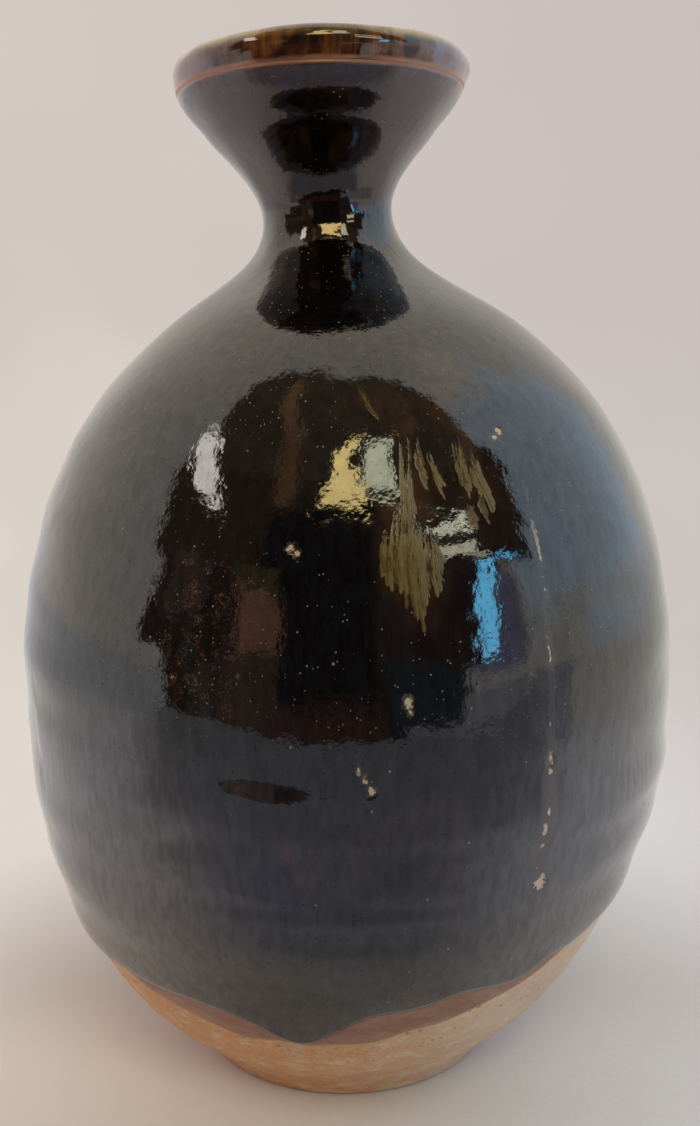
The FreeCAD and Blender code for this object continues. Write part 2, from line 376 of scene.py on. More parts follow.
def closed_sleeve(name, outer, inner, material, values):
    """A thin coat all round the pot: an outer and an inner skin joined by flat faces at both edges. values
    are arrays over the outer skin, and the inner skin takes those of the outer skin's last row."""
    rows = np.concatenate([outer, inner[::-1]])
    columns = rows.shape[1]
    faces = grid_faces(len(rows), columns, wrap_rows=True)
    full = {}
    for key, value in values.items():
        full[key] = np.concatenate([value, np.repeat(value[-1:], len(inner), axis=0)])
    piece = make_object(name, rows.reshape(-1, 3), faces, material, full)
    for closing_row in (len(outer) - 1, len(rows) - 1):
        for column in range(columns):
            piece.data.polygons[closing_row * columns + column].use_smooth = False
    return piece


def capped_lathe(name, rows, start, end, material):
    """A closed body of rings whose first and last rings close to a point."""
    columns = rows.shape[1]
    points = np.concatenate([rows.reshape(-1, 3), [start, end]])
    faces = grid_faces(len(rows), columns)
    start_index, end_index = len(points) - 2, len(points) - 1
    last_row = (len(rows) - 1) * columns
    for j in range(columns):
        after = (j + 1) % columns
        faces.append([start_index, after, j])
        faces.append([end_index, last_row + j, last_row + after])
    return make_object(name, points, faces, material)


# --- pieces of the pot ---

def rim_arch(half_width, top, steps, centre_radius):
    """Radius and height offsets of a round-topped rim, from its outside over the top to its inside."""
    squareness = 0.85
    angle = np.linspace(0.0, np.pi, steps)
    across = np.sign(np.cos(angle)) * np.abs(np.cos(angle)) ** squareness
    up = np.sin(angle) ** squareness
    return centre_radius + half_width * across, LIP_WIDEST + (top - LIP_WIDEST) * up


rim_wobble = waves(71, 9, 7, 900.0)
NICK_SIDE = -62.0      # a small nick in the rim
NICK_HALF_WIDTH = 4.0
NICK_DEPTH = 0.3


def lip_section(outer_extra, inner_extra, top, steps):
    """Radii and heights of the lip's section, from the ridge outside, over the top, to the same height
    inside, as rows of one column."""
    below = np.linspace(RIDGE, LIP_WIDEST, 8)[:-1]
    outer_radius = clay_radius(below) + outer_extra
    inner_radius = hollow_radius(below[::-1]) - inner_extra
    widest, narrowest = clay_radius(LIP_WIDEST) + outer_extra, hollow_radius(LIP_WIDEST) - inner_extra
    arch_radius, arch_height = rim_arch((widest - narrowest) / 2, top, steps, (widest + narrowest) / 2)
    radius = np.concatenate([outer_radius, arch_radius, inner_radius])[:, None]
    height = np.concatenate([below, arch_height, below[::-1]])[:, None]
    return radius, height


def make_lip(material):
    """The glaze on the lip, from the ridge over the top and back down inside."""
    radius, height = lip_section(GLAZE, LINER, RIM_TOP, 30)
    order = np.linspace(0.0, 1.0, len(height))[:, None]
    outside = 1.0 - smooth_step(order, 0.45, 0.6)
    lift = smooth_step(height, LIP_WIDEST - 0.5, RIM_TOP) * (0.05 * rim_wobble(SIDES, 0.0) - 0.06)
    nick = NICK_DEPTH * bump(SIDES, NICK_SIDE, NICK_HALF_WIDTH) * smooth_step(height, LIP_WIDEST, RIM_TOP)
    joint = clay_surface(SIDES, RIDGE) - clay_radius(RIDGE)
    joint = joint + glaze_thickness(SIDES, RIDGE) - (GLAZE - THIN_AT_RIDGE)
    near_joint = 1.0 - smooth_step(height, RIDGE, LIP_WIDEST)
    uneven = 0.05 * glaze_swell(SIDES, height * 2.0) * (1.0 - near_joint)
    edge = ridge_rise(SIDES, height) - THIN_AT_RIDGE * peak(height, RIDGE, THIN_HALF_WIDTH)
    radius = radius + outside * (edge + joint * near_joint + uneven)
    height = height + lift - nick
    outer = outside_points(radius, SIDES, height)
    clay_rows, clay_heights = lip_section(0.0, 0.0, CLAY_RIM_TOP, 12)
    inner = outside_points(clay_rows, SIDES, clay_heights)
    around = np.broadcast_to(order, outer.shape[:2])
    # How near the front each point is: the lip shows its amber there, and a painted reflection towards the
    # sides.
    front = np.broadcast_to(bump(SIDES, 3.0, 52.0), outer.shape[:2])
    return closed_sleeve("lip_glaze_coat", outer, inner, material, {"over_rim": around, "front": front})


def dark_glaze_values(sides, height, line):
    """Where each shade of the dark glaze lies, as values over its outer skin."""
    from_front = np.abs((sides + 180.0) % 360.0 - 180.0)
    low = 1.0 - smooth_step(height, 38.0, 62.0)
    # Pale haze over the low sides: a painted reflection of the bright floor and tent, strongest away from
    # the front. Just above the glaze line it is a paler band along the glaze's edge.
    haze_and_sheen = low * (0.18 + 0.82 * smooth_step(from_front, 8.0, 34.0))
    haze_and_sheen = np.maximum(haze_and_sheen, 0.6 * (1.0 - smooth_step(height - line, 0.5, 7.0)))
    plum = bump(sides, -6.2, 1.7) * peak(height, 39.9, 1.3)
    plum = plum + 0.7 * bump(sides, -8.9, 2.2) * peak(height, 43.0, 1.6)
    # Lilac near the lip: a painted reflection of the pale tent, strongest away from the front.
    near_lip_sheen = smooth_step(height, 127.0, RIDGE) * (0.35 + 0.65 * smooth_step(from_front, 15.0, 70.0))
    return {
        "above_line": height - line,
        "ash": ash_density(sides, height),
        "navy": bump(sides, -11.0, 11.0) * peak(height, 38.5, 6.5),
        "plum": plum,
        "haze_and_sheen": haze_and_sheen,
        "near_lip_sheen": near_lip_sheen,
        "ridge": smooth_step(height, RIDGE - 0.45, RIDGE - 0.1),
    }


def make_outer_glaze(material):
    """The dark glaze from its rolled edge, where rows stand close together, up to the ridge."""
    fine_edge = 1.0 - np.cos(np.linspace(0.0, np.pi / 2, 30))
    line = glaze_line(SIDES)
    edge_band = 6.0
    edge_rows = line + edge_band * fine_edge[:, None]
    share = np.linspace(0.0, 1.0, 186)[1:, None]
    upper_rows = (line + edge_band) * (1.0 - share) + RIDGE * share
    height = np.concatenate([edge_rows, upper_rows])
    clay = clay_surface(SIDES, height)
    thickness = glaze_thickness(SIDES, height)
    radius = clay + thickness + ridge_rise(SIDES, height) - PIT_DEPTH * bare_spots(SIDES, height)
    outer = outside_points(radius, SIDES, height)
    back_share = np.linspace(0.0, 1.0, 40)[:, None]
    back_height = line * (1.0 - back_share) + RIDGE * back_share
    inner = outside_points(clay_surface(SIDES, back_height), SIDES, back_height)
    values = dark_glaze_values(SIDES, height, line)
    return closed_sleeve("dark_glaze_coat", outer, inner, material, values)


SUNK = 0.03            # clay under glaze lies this much deeper, so the two never share a face
FOOT_EDGE = 0.7        # height of the foot's outer edge


def clay_underside():
    """The turned recess under the foot, then the ring that the pot stands on."""
    foot_radius = float(clay_radius(FOOT_EDGE))
    recess_radii = np.array([3.0, 6.0, 9.0, 12.0, 13.6, FOOT_RECESS_RADIUS - 0.3])
    recess_heights = FOOT_RECESS_DEPTH - np.array([0.0, 0.05, 0.1, 0.15, 0.25, 0.5])
    ring_radii = np.array([FOOT_RECESS_RADIUS + 0.05, 14.9, 15.6, 17.2, 18.6])
    ring_radii = np.append(ring_radii, [foot_radius - 0.55, foot_radius - 0.2])
    ring_heights = np.array([0.75, 0.25, 0.03, 0.0, 0.03, 0.1, 0.3])
    radii = np.concatenate([recess_radii, ring_radii])[:, None]
    heights = np.concatenate([recess_heights, ring_heights])[:, None]
    worn = TURNING_DEPTH * turning_marks(SIDES, radii * 1.3) * smooth_step(heights, 0.0, 0.3)
    return ring_points(float(clay_centre(FOOT_EDGE)), radii, SIDES, heights + worn)


def clay_wall():
    low = np.linspace(FOOT_EDGE, 28.0, 70)
    high = np.linspace(28.0, RIDGE, 60)[1:]
    heights = np.concatenate([low, high])[:, None]
    radius = clay_surface(SIDES, heights) - SUNK * smooth_step(heights, 26.0, 28.0)
    return outside_points(radius, SIDES, heights)


def clay_hollow():
    heights = np.linspace(RIDGE, FLOOR_TOP + 1.6, 90)[1:, None]
    wall = inside_points(hollow_radius(heights) + SUNK, SIDES, heights)
    floor_radii = np.array([19.0, 16.5, 13.0, 8.0, 3.0])[:, None]
    floor_heights = FLOOR_TOP - SUNK + np.array([0.9, 0.35, 0.1, 0.0, 0.0])[:, None]
    floor = ring_points(float(clay_centre(FOOT_EDGE)), floor_radii, SIDES, floor_heights)
    return np.concatenate([wall, floor])


def make_clay(material):
    """The fired clay: turned foot, belly, neck and rim, and the hollow."""
    rim_radius, rim_height = lip_section(-SUNK, -SUNK, CLAY_RIM_TOP - SUNK, 14)
    rim = outside_points(rim_radius, SIDES, rim_height)
    rows = np.concatenate([clay_underside(), clay_wall(), rim, clay_hollow()])
    foot_centre = float(clay_centre(FOOT_EDGE))
    start = [foot_centre, 0.0, FOOT_RECESS_DEPTH]
    end = [foot_centre, 0.0, FLOOR_TOP - SUNK]
    return capped_lathe("clay_pot", rows, start, end, material)


def make_liner(material):
    """The glaze inside: a thin closed coat from the ridge's height down to the floor."""
    heights = np.linspace(RIDGE, FLOOR_TOP + 1.6, 110)[:, None]
    clay_side = inside_points(hollow_radius(heights), SIDES, heights)
    floor_radii = np.array([18.5, 16.0, 12.0, 7.0, 2.5])[:, None]
    rise = np.array([0.85, 0.35, 0.1, 0.0, 0.0])[:, None]
    foot_centre = float(clay_centre(FLOOR_TOP))
    clay_floor = ring_points(foot_centre, floor_radii, SIDES, FLOOR_TOP + rise)
    fingers = 0.12 * finger_dents(SIDES, heights) * (1.0 - smooth_step(heights, 96.0, 106.0))
    fingers = fingers + 0.04 * small_dents(SIDES, heights)
    radius = hollow_radius(heights) - LINER + fingers * smooth_step(RIDGE - heights, 0.0, 3.0)
    open_side = inside_points(radius, SIDES, heights)
    open_floor = ring_points(foot_centre, floor_radii - LINER, SIDES, FLOOR_TOP + LINER + rise)
    rows = np.concatenate([clay_floor[::-1], clay_side[::-1], open_side, open_floor])
    start = [foot_centre, 0.0, FLOOR_TOP]
    end = [foot_centre, 0.0, FLOOR_TOP + LINER]
    return capped_lathe("inner_glaze_coat", rows, start, end, material)


def closed_sheet_faces(rows, columns):
    """Faces of two grids of points back to back, numbered one after the other, and of the rim between."""
    behind = rows * columns
    faces = grid_faces(rows, columns, wrap_columns=False)
    faces += [face[::-1] for face in grid_faces(rows, columns, wrap_columns=False, first=behind)]
    rim = list(range(columns))
    rim += [i * columns + columns - 1 for i in range(1, rows)]
    rim += [(rows - 1) * columns + j for j in range(columns - 2, -1, -1)]
    rim += [i * columns for i in range(rows - 2, 0, -1)]
    for here, there in zip(rim, rim[1:] + rim[:1]):
        faces.append([there, here, here + behind, there + behind])
    return faces


wash_wobble = waves(83, 12, 40, 900.0)


def make_wash(material):
    """The first coat's strip below the glaze line, tapering out under the glaze at both ends."""
    sides = SIDES[(SIDES > -60.0) & (SIDES < 60.0)]
    low = wash_line(sides) + 0.22 * wash_wobble(sides, 0.0)
    shown = glaze_line(sides) - low
    low, sides, shown = low[shown > 0.1], sides[shown > 0.1], shown[shown > 0.1]
    share = np.linspace(0.0, 1.0, 14)[:, None]
    tuck = 1.4
    sunk = 0.02
    height = low + (shown + tuck) * share
    feather = np.sqrt(np.clip(share / 0.25, 0.0, 1.0)) * np.sqrt(np.clip(shown / 1.2, 0.0, 1.0))
    clay = clay_surface(sides, height)
    outer = outside_points(clay + (sunk + WASH * feather), sides, height)
    inner = outside_points(clay - sunk, sides, height)
    points = np.concatenate([outer.reshape(-1, 3), inner.reshape(-1, 3)])
    above = (height - low).ravel()
    values = {"above_wash_line": np.concatenate([above, above])}
    return make_object("iron_wash_strip", points, closed_sheet_faces(*height.shape), material, values)


# --- ash glaze runs ---

# Tongues made of overlapping streaks: side and height of the top, side and height of the tip, width in
# degrees, number of streaks, and share of olive over brown.
TONGUES = [
    (10.2, 88.5, 9.2, 74, 1.2, 20, 0.7),
    (9, 82, 8.2, 69.5, 2.2, 40, 1),
    (9.8, 79.5, 10.8, 66.4, 1.9, 36, 1),
    (6.4, 78.5, 6, 70.8, 1.3, 18, 0.9),
    (12.6, 79, 13.4, 70.2, 1.2, 16, 0.9),
    (11.8, 88, 13.2, 80.8, 0.6, 10, 0.7),
    (14, 87, 16, 80.2, 0.7, 10, 0.9),
    (19.2, 88, 20.2, 79.6, 1.1, 14, 0.8),
    (21, 87, 24, 78.6, 1.1, 18, 1),
    (19.4, 81.5, 20.4, 76.6, 0.9, 9, 0.35),
    (22, 82, 22.6, 77.8, 0.6, 6, 0.3),
    (1.8, 93.5, 6.2, 88.6, 0.4, 6, 0.25),
]


def ash_density(side, height):
    """0 to 1, where the dark glaze round the tongues is stained brown."""
    total = 0.0
    for side_at_top, top, side_at_tip, tip, width, _, olive in TONGUES:
        along = smooth_step(height, tip - 0.5, tip + 3.0)
        along = along * (1.0 - smooth_step(height, top - 1.0, top + 6.0))
        share = np.clip((top - height) / (top - tip), -0.5, 1.0)
        centre = side_at_top + (side_at_tip - side_at_top) * share
        total = total + (0.15 + 0.4 * olive) * along * bump(side, centre, width + 0.6)
    return np.clip(total, 0.0, 1.0)


def streak_points(top_place, tip_place, half_width, lens_height, sway, steps=26, across=7):
    """A tapering streak lying on the glaze, as rows along it by points across it: its upper skin, its lower
    skin, and how near each point is to its middle."""
    sunk_edge = 0.012
    underside = 0.06
    typical_radius = 38.0
    t = np.linspace(0.0, 1.0, steps)[:, None]
    s = np.linspace(-1.0, 1.0, across)[None, :]
    height = top_place[1] + (tip_place[1] - top_place[1]) * t + 0.0 * s
    middle = top_place[0] + (tip_place[0] - top_place[0]) * t + sway * np.sin(np.pi * (2.0 * t + sway))
    swelling = 0.7 + 0.3 * t
    tip_round = np.sqrt(np.clip((1.0 - t) / 0.10, 0.0, 1.0))
    start_point = np.sqrt(np.clip(t / 0.12, 0.0, 1.0))
    taper = swelling * np.minimum(tip_round, start_point) + 0.03
    place = middle + np.degrees(half_width / typical_radius) * taper * s
    body = clay_surface(place, height) + glaze_thickness(place, height)
    lens = (lens_height + sunk_edge) * np.minimum(taper, 1.0) * (1.0 - s**2) - sunk_edge
    upper = outside_points(body + lens, place, height)
    lower = outside_points(body - underside, place, height)
    faint_start = smooth_step(t, 0.0, 0.4)
    core = np.minimum(tip_round * 1.2, 1.0) * faint_start * (1.0 - s**2)
    return upper, lower, core


def random_streak(source, side_at_top, top, side_at_tip, tip, width):
    """One streak of a tongue, somewhere across it and along it."""
    offset = source.uniform(-0.9, 0.9)
    start = source.uniform(0.0, 0.5)
    end = 1.0 - 0.35 * abs(offset) - source.uniform(0.0, 0.25)
    end = max(end, start + 0.25)
    length = tip - top
    turn = side_at_tip - side_at_top
    return streak_points(
        (side_at_top + turn * start + width * offset * 0.8, top + length * start),
        (side_at_top + turn * end + width * offset, top + length * end),
        half_width=source.uniform(0.15, 0.42),
        lens_height=source.uniform(0.008, 0.018),
        sway=source.uniform(-0.35, 0.35),
    )


def make_runs(material):
    """Olive-gold tongues on the dark glaze, each made of overlapping streaks of its own."""
    source = np.random.default_rng(7)
    points, faces, core, tint, olive_share = [], [], [], [], []
    count = 0
    for *tongue, streaks, olive in TONGUES:
        for _ in range(streaks):
            upper, lower, middle = random_streak(source, *tongue)
            rows = len(middle)
            loop = np.concatenate([upper, lower[:, ::-1]], axis=1)
            ring = loop.shape[1]
            points.append(loop.reshape(-1, 3))
            faces += grid_faces(rows, ring, first=count)
            faces.append([count + k for k in range(ring)][::-1])
            faces.append([count + (rows - 1) * ring + k for k in range(ring)])
            count += rows * ring
            core.append(np.concatenate([middle, np.zeros_like(middle)], axis=1).ravel())
            tint.append(np.full(rows * ring, source.uniform()))
            olive_share.append(np.full(rows * ring, olive))
    values = {
        "core": np.concatenate(core),
        "tint": np.concatenate(tint),
        "olive": np.concatenate(olive_share),
    }
    return make_object("ash_glaze_streaks", np.concatenate(points), faces, material, values)


PIT_DEPTH = 0.15       # how far a bare spot sinks into the glaze
BELLY = 42.0           # radius of the belly

# Places where the glaze crawled or a grit stands bare: side, height, and size across and up.
BARE_SPOTS = [
    (-8.4, 76.1, 0.55, 0.45),
    (-7.5, 75.6, 0.4, 0.5),
    (8.5, 59.9, 0.55, 0.75),
    (8.8, 58.9, 0.35, 0.5),
    (1.6, 52.6, 0.3, 0.5),
    (2.4, 51.6, 0.35, 0.55),
    (3.4, 50.4, 0.5, 0.6),
    (32, 36.5, 0.95, 1.2),
    (27.8, 87.4, 0.7, 0.45),
    (28.8, 88, 0.5, 0.5),
    (31, 51.9, 0.35, 0.6),
    (160, 70, 0.8, 0.9),
    (-120, 52, 0.7, 0.9),
]


def bare_spots(side, height):
    """1 in the middle of a bare spot, 0 away from it."""
    total = 0.0
    for centre, middle, across, up in BARE_SPOTS:
        total = total + bump(side, centre, np.degrees(across / BELLY)) * peak(height, middle, up)
    return np.clip(total, 0.0, 1.0)


def spot_place(side, height):
    """A point on the glaze's surface, in metres."""
    return outside_points(clay_surface(side, height) + GLAZE, side, float(height)) * MM


# --- shader graphs ---

class Graph:
    """Short ways to add and join nodes."""

    def __init__(self, tree):
        self.tree = tree
        tree.nodes.clear()

    def add(self, kind, inputs=None, **settings):
        node = self.tree.nodes.new(kind)
        for key, value in settings.items():
            setattr(node, key, value)
        for key, value in (inputs or {}).items():
            self.set(node.inputs[key], value)
        return node

    def set(self, socket, value):
        """Join a socket to another, or give it a plain value. A colour is three numbers."""
        if isinstance(value, bpy.types.NodeSocket):
            self.tree.links.new(value, socket)
        elif socket.type == "RGBA":
            socket.default_value = (*value, 1.0)
        else:
            socket.default_value = value

    def math(self, operation, *values):
        return self.add("ShaderNodeMath", dict(enumerate(values)), operation=operation).outputs[0]

    def vector_math(self, operation, *values):
        return self.add("ShaderNodeVectorMath", dict(enumerate(values)), operation=operation).outputs

    def times(self, first, second):
        return self.math("MULTIPLY", first, second)

    def plus(self, value, extra, share):
        """Value plus a share of extra."""
        return self.math("MULTIPLY_ADD", extra, share, value)

    def shifted(self, value, noise, amount):
        """Value pushed up and down by a noise."""
        return self.plus(value, self.math("SUBTRACT", noise, 0.5), amount)

    def ramp(self, value, low, high, start=0.0, end=1.0):
        """Value moved smoothly from start to end as it goes from low to high."""
        inputs = {"Value": value, "From Min": low, "From Max": high, "To Min": start, "To Max": end}
        return self.add("ShaderNodeMapRange", inputs, interpolation_type="SMOOTHSTEP").outputs["Result"]

    def band(self, value, low, high, soft):
        """1 between low and high, and 0 outside, with soft edges."""
        rise = self.ramp(value, low - soft, low + soft)
        return self.times(rise, self.ramp(value, high + soft, high - soft))

    def blend(self, share, first, second):
        """Colour that goes from first to second as share goes from 0 to 1."""
        node = self.add("ShaderNodeMix", data_type="RGBA", clamp_factor=True)
        self.set(node.inputs["Factor"], share)
        self.set(node.inputs[6], first)
        self.set(node.inputs[7], second)
        return node.outputs[2]

    def layers(self, colour, shades):
        """A colour with others laid over it in turn, each with its share."""
        for share, shade in shades:
            colour = self.blend(share, colour, shade)
        return colour

    def place(self, across=1.0, up=1.0):
        """The surface point in metres, stretched."""
        where = self.add("ShaderNodeTexCoord").outputs["Object"]
        inputs = {"Vector": where, "Scale": (across, across, up)}
        return self.add("ShaderNodeMapping", inputs).outputs["Vector"]

    def xyz(self, vector):
        return self.add("ShaderNodeSeparateXYZ", {"Vector": vector}).outputs

    def side(self, x, y):
        """The side of the pot that a point or a direction lies at."""
        return self.math("DEGREES", self.math("ARCTAN2", x, self.times(y, -1.0)))

    def noise(self, scale, detail, roughness, distortion=0.0, across=1.0, up=1.0, vector=None):
        """Cloudy noise, on the surface if no vector is given. Below 1, across and up draw it out."""
        if vector is None:
            vector = self.place(across, up)
        inputs = {"Vector": vector, "Scale": scale, "Detail": detail, "Roughness": roughness}
        inputs["Distortion"] = distortion
        return self.add("ShaderNodeTexNoise", inputs, normalize=True).outputs["Fac"]

    def loose_cells(self, vector, scale):
        """Distance from the middle of the nearest cell, and two random numbers of that cell."""
        cells = self.add("ShaderNodeTexVoronoi", {"Vector": vector, "Scale": scale}).outputs
        pick = self.add("ShaderNodeSeparateColor", {"Color": cells["Color"]}).outputs
        return cells["Distance"], pick[0], pick[1]

    def specks(self, scale, size, share, seed):
        """1 in small round specks, one in some of the cells of a grid of loose cells, 0 elsewhere."""
        where = self.add("ShaderNodeMapping", {"Vector": self.place(), "Location": (seed, seed, seed)})
        distance, pick, spread = self.loose_cells(where.outputs[0], scale)
        own_size = self.times(self.math("ADD", spread, 0.25), size)
        near = self.math("LESS_THAN", distance, own_size)
        return self.times(self.math("LESS_THAN", pick, share), near)

    def value_of(self, name):
        return self.add("ShaderNodeAttribute", attribute_name=name).outputs["Fac"]

    def bump(self, height, rise, under=None):
        """Relief that stands up by rise, in millimetres, over another relief."""
        inputs = {"Height": height, "Distance": rise * MM, "Strength": 1.0}
        if under is not None:
            inputs["Normal"] = under
        return self.add("ShaderNodeBump", inputs).outputs["Normal"]

    def mix(self, share, first, second):
        return self.add("ShaderNodeMixShader", {0: share, 1: first.outputs[0], 2: second.outputs[0]})

    def finish(self, shader, output="ShaderNodeOutputMaterial"):
        self.tree.links.new(shader.outputs[0], self.add(output).inputs["Surface"])

    def surface(self, colour, rough, relief, **more):
        """The one Principled shader, joined to the output."""
        inputs = {"Base Color": colour, "Roughness": rough, "Normal": relief, **more}
        self.finish(self.add("ShaderNodeBsdfPrincipled", inputs))


def new_material(name):
    material = bpy.data.materials.new(name)
    material.use_nodes = True
    return material, Graph(material.node_tree)


# --- materials ---

DARK_GLAZE_IOR = 1.68
BLACK = (0.0018, 0.0014, 0.0013)
DARK_BROWN = (0.022, 0.010, 0.004)
RUST = (0.048, 0.023, 0.010)
BLUE_BLOOM = (0.0045, 0.005, 0.007)
NAVY = (0.010, 0.010, 0.024)
PLUM = (0.075, 0.033, 0.036)
# Painted reflection: the lilac near the lip, strongest away from the front.
NEAR_LIP_SHEEN = (0.085, 0.066, 0.085)
# The pale haze on the low sides is a painted reflection of the bright floor and tent.
LOW_HAZE_AND_SHEEN = (0.100, 0.091, 0.086)
EDGE_BROWN = (0.20, 0.15, 0.12)
PINHOLE = (0.30, 0.25, 0.19)
SPOT_HALO = (0.060, 0.042, 0.028)
SEAM_HALO = (0.085, 0.074, 0.060)
PALE_CLAY = (0.55, 0.44, 0.33)
RIDGE_ORANGE = (0.36, 0.15, 0.085)
# Colours of the painted reflection tint, by height.
PLAIN_TINT = (1.0, 1.0, 1.0)
BLUE_TINT = (0.90, 0.98, 1.25)
OLIVE_TINT = (1.16, 1.08, 0.92)
ROSE_TINT = (1.16, 0.99, 0.95)
LILAC_TINT = (0.92, 0.84, 0.98)


def spot_mask(graph, ragged, spread):
    """1 inside the bare spots, with ragged edges, from distances to their places on the pot."""
    where = graph.place()
    total = 0.0
    for side, height, across, up in BARE_SPOTS:
        centre = tuple(float(c) for c in spot_place(side, height))
        squash = (1.0 / (across * MM), 1.0 / (across * MM), 1.0 / (up * MM))
        off = graph.vector_math("MULTIPLY", graph.vector_math("SUBTRACT", where, centre)[0], squash)[0]
        reach = graph.plus(graph.vector_math("LENGTH", off)["Value"], ragged, 2.4)
        total = graph.math("MAXIMUM", total, graph.ramp(reach, 2.05 * spread, 1.8 * spread))
    return total


# An upright crack in the glaze, healed with a rough brown seam: its side, then heights in metres.
SEAM_SIDE = 31.0
SEAM_BOTTOM = 0.0368
SEAM_TOP = 0.083
SEAM_FADES = 0.070
SEAM_NARROW = 0.057
SEAM_WIDE = 0.049


def seam_masks(graph, ragged):
    """The seam's brown halo and its pale broken middle."""
    x, y, height = graph.xyz(graph.place())
    wander = graph.noise(260.0, 3.0, 0.6, across=0.0)
    off = graph.math("SUBTRACT", graph.side(x, y), graph.plus(SEAM_SIDE - 1.0, wander, 2.0))
    away = graph.plus(graph.math("ABSOLUTE", off), ragged, 0.8)
    along = graph.ramp(height, SEAM_BOTTOM - 0.0003, SEAM_BOTTOM + 0.0008)
    along = graph.times(along, graph.ramp(height, SEAM_TOP, SEAM_FADES))
    width = graph.ramp(height, SEAM_NARROW, SEAM_WIDE, 1.0, 1.9)
    halo = graph.times(graph.ramp(graph.math("DIVIDE", away, width), 1.15, 0.85), along)
    halo = graph.times(halo, graph.ramp(height, SEAM_NARROW, SEAM_WIDE, 0.35, 0.9))
    broken = graph.ramp(graph.noise(620.0, 2.0, 0.6, up=0.6), 0.54, 0.60)
    middle = graph.times(graph.times(graph.ramp(away, 0.85, 0.65), along), broken)
    return halo, middle


def dark_glaze_colour(graph, clouds, fur, streaks):
    """Black, brown where thin, with a blue bloom, and shades laid where the piece's own values say; the pale
    haze on the low sides and the lilac near the lip are painted reflections of the pale tent.
    """
    haze_grain = graph.ramp(fur, 0.30, 0.70, 0.62, 1.0)
    lip_sheen_grain = graph.ramp(fur, 0.30, 0.60, 0.3, 0.9)
    blush = graph.ramp(fur, 0.35, 0.60, 0.4, 1.0)
    return graph.layers(BLACK, [
        (graph.times(graph.ramp(clouds, 0.53, 0.68), graph.ramp(streaks, 0.4, 0.62)), DARK_BROWN),
        (graph.times(graph.ramp(clouds, 0.60, 0.36), graph.ramp(fur, 0.36, 0.66)), BLUE_BLOOM),
        (graph.value_of("navy"), NAVY),
        # Painted reflection: the pale haze on the low sides, strongest away from the front.
        (graph.times(graph.value_of("haze_and_sheen"), haze_grain), LOW_HAZE_AND_SHEEN),
        # Painted reflection: the lilac near the lip.
        (graph.times(graph.value_of("near_lip_sheen"), lip_sheen_grain), NEAR_LIP_SHEEN),
        (graph.times(graph.value_of("plum"), blush), PLUM),
        (graph.times(graph.value_of("ash"), graph.ramp(streaks, 0.36, 0.66)), RUST),
    ])


def painted_reflection_tint(graph, clouds, fur, height):
    """Painted reflection colour: a tint of what the glaze mirrors, set by height: blue on the belly, olive
    on the shoulder, rose to lilac above.
    """
    blue = graph.times(graph.ramp(height, 0.062, 0.046), graph.ramp(height, 0.024, 0.038))
    olive = graph.times(graph.ramp(height, 0.088, 0.100), graph.ramp(clouds, 0.40, 0.56, 0.4, 1.0))
    mist = graph.times(graph.ramp(height, 0.108, 0.122), graph.ramp(fur, 0.36, 0.62))
    return graph.layers(PLAIN_TINT, [
        (blue, BLUE_TINT),
        (olive, OLIVE_TINT),
        (graph.ramp(height, 0.110, 0.118), ROSE_TINT),
        (mist, LILAC_TINT),
    ])


def dark_glaze_material():
    """Iron-black glaze: glossy, with a fine downward grain, brown where thin, and pale pinholes."""
    material, graph = new_material("dark_iron_glaze")
    streaks = graph.noise(420.0, 4.0, 0.6, up=0.16)
    clouds = graph.noise(38.0, 4.0, 0.55, 0.4)
    clusters = graph.noise(65.0, 2.0, 0.5)
    grain = graph.noise(1700.0, 2.0, 0.55)
    ripple = graph.noise(620.0, 2.0, 0.5, up=0.8)
    ragged = graph.noise(2000.0, 3.0, 0.6)
    fur = graph.noise(1000.0, 3.0, 0.65, up=0.3)
    height = graph.xyz(graph.place())[2]

    edge = graph.ramp(graph.value_of("above_line"), 0.38, 0.08)
    ridge = graph.value_of("ridge")
    small = graph.times(graph.specks(1500.0, 0.14, 0.7, 4.1), graph.ramp(clusters, 0.42, 0.50))
    small = graph.times(small, graph.ramp(height, 0.050, 0.064))
    specks = graph.math("MAXIMUM", graph.specks(460.0, 0.065, 0.4, 1.3), small)
    spot_halo = spot_mask(graph, ragged, 1.3)
    seam_halo, seam_middle = seam_masks(graph, ragged)
    bare = graph.math("MAXIMUM", spot_mask(graph, ragged, 1.0), seam_middle)
    colour = graph.layers(dark_glaze_colour(graph, clouds, fur, streaks), [
        (edge, EDGE_BROWN),
        (graph.times(specks, 0.6), PINHOLE),
        (graph.times(spot_halo, 0.7), SPOT_HALO),
        (graph.times(seam_halo, 0.85), SEAM_HALO),
        (ridge, RIDGE_ORANGE),
        (bare, PALE_CLAY),
    ])

    pores = graph.specks(2000.0, 0.2, 0.4, 7.7)
    mirror = graph.plus(graph.ramp(fur, 0.25, 0.75, 0.42, 0.56), pores, -0.22)
    stain = graph.math("MAXIMUM", spot_halo, seam_halo)
    rough = graph.ramp(ripple, 0.3, 0.7, 0.03, 0.07)
    rough = graph.plus(rough, graph.math("MAXIMUM", specks, bare), 0.5)
    for mask, extra in ((stain, 0.12), (ridge, 0.5), (edge, 0.2)):
        rough = graph.plus(rough, mask, extra)

    pits = graph.math("MAXIMUM", graph.times(specks, 0.5), bare)
    relief = graph.bump(grain, 0.011, graph.bump(ripple, 0.028))
    relief = graph.bump(graph.math("SUBTRACT", 1.0, pits), 0.10, relief)
    # The specular tint is a painted reflection colour, set by height.
    mirrored = {"Specular IOR Level": mirror, "Specular Tint": painted_reflection_tint(graph, clouds, fur, height)}
    graph.surface(colour, rough, relief, IOR=DARK_GLAZE_IOR, **mirrored)
    return material


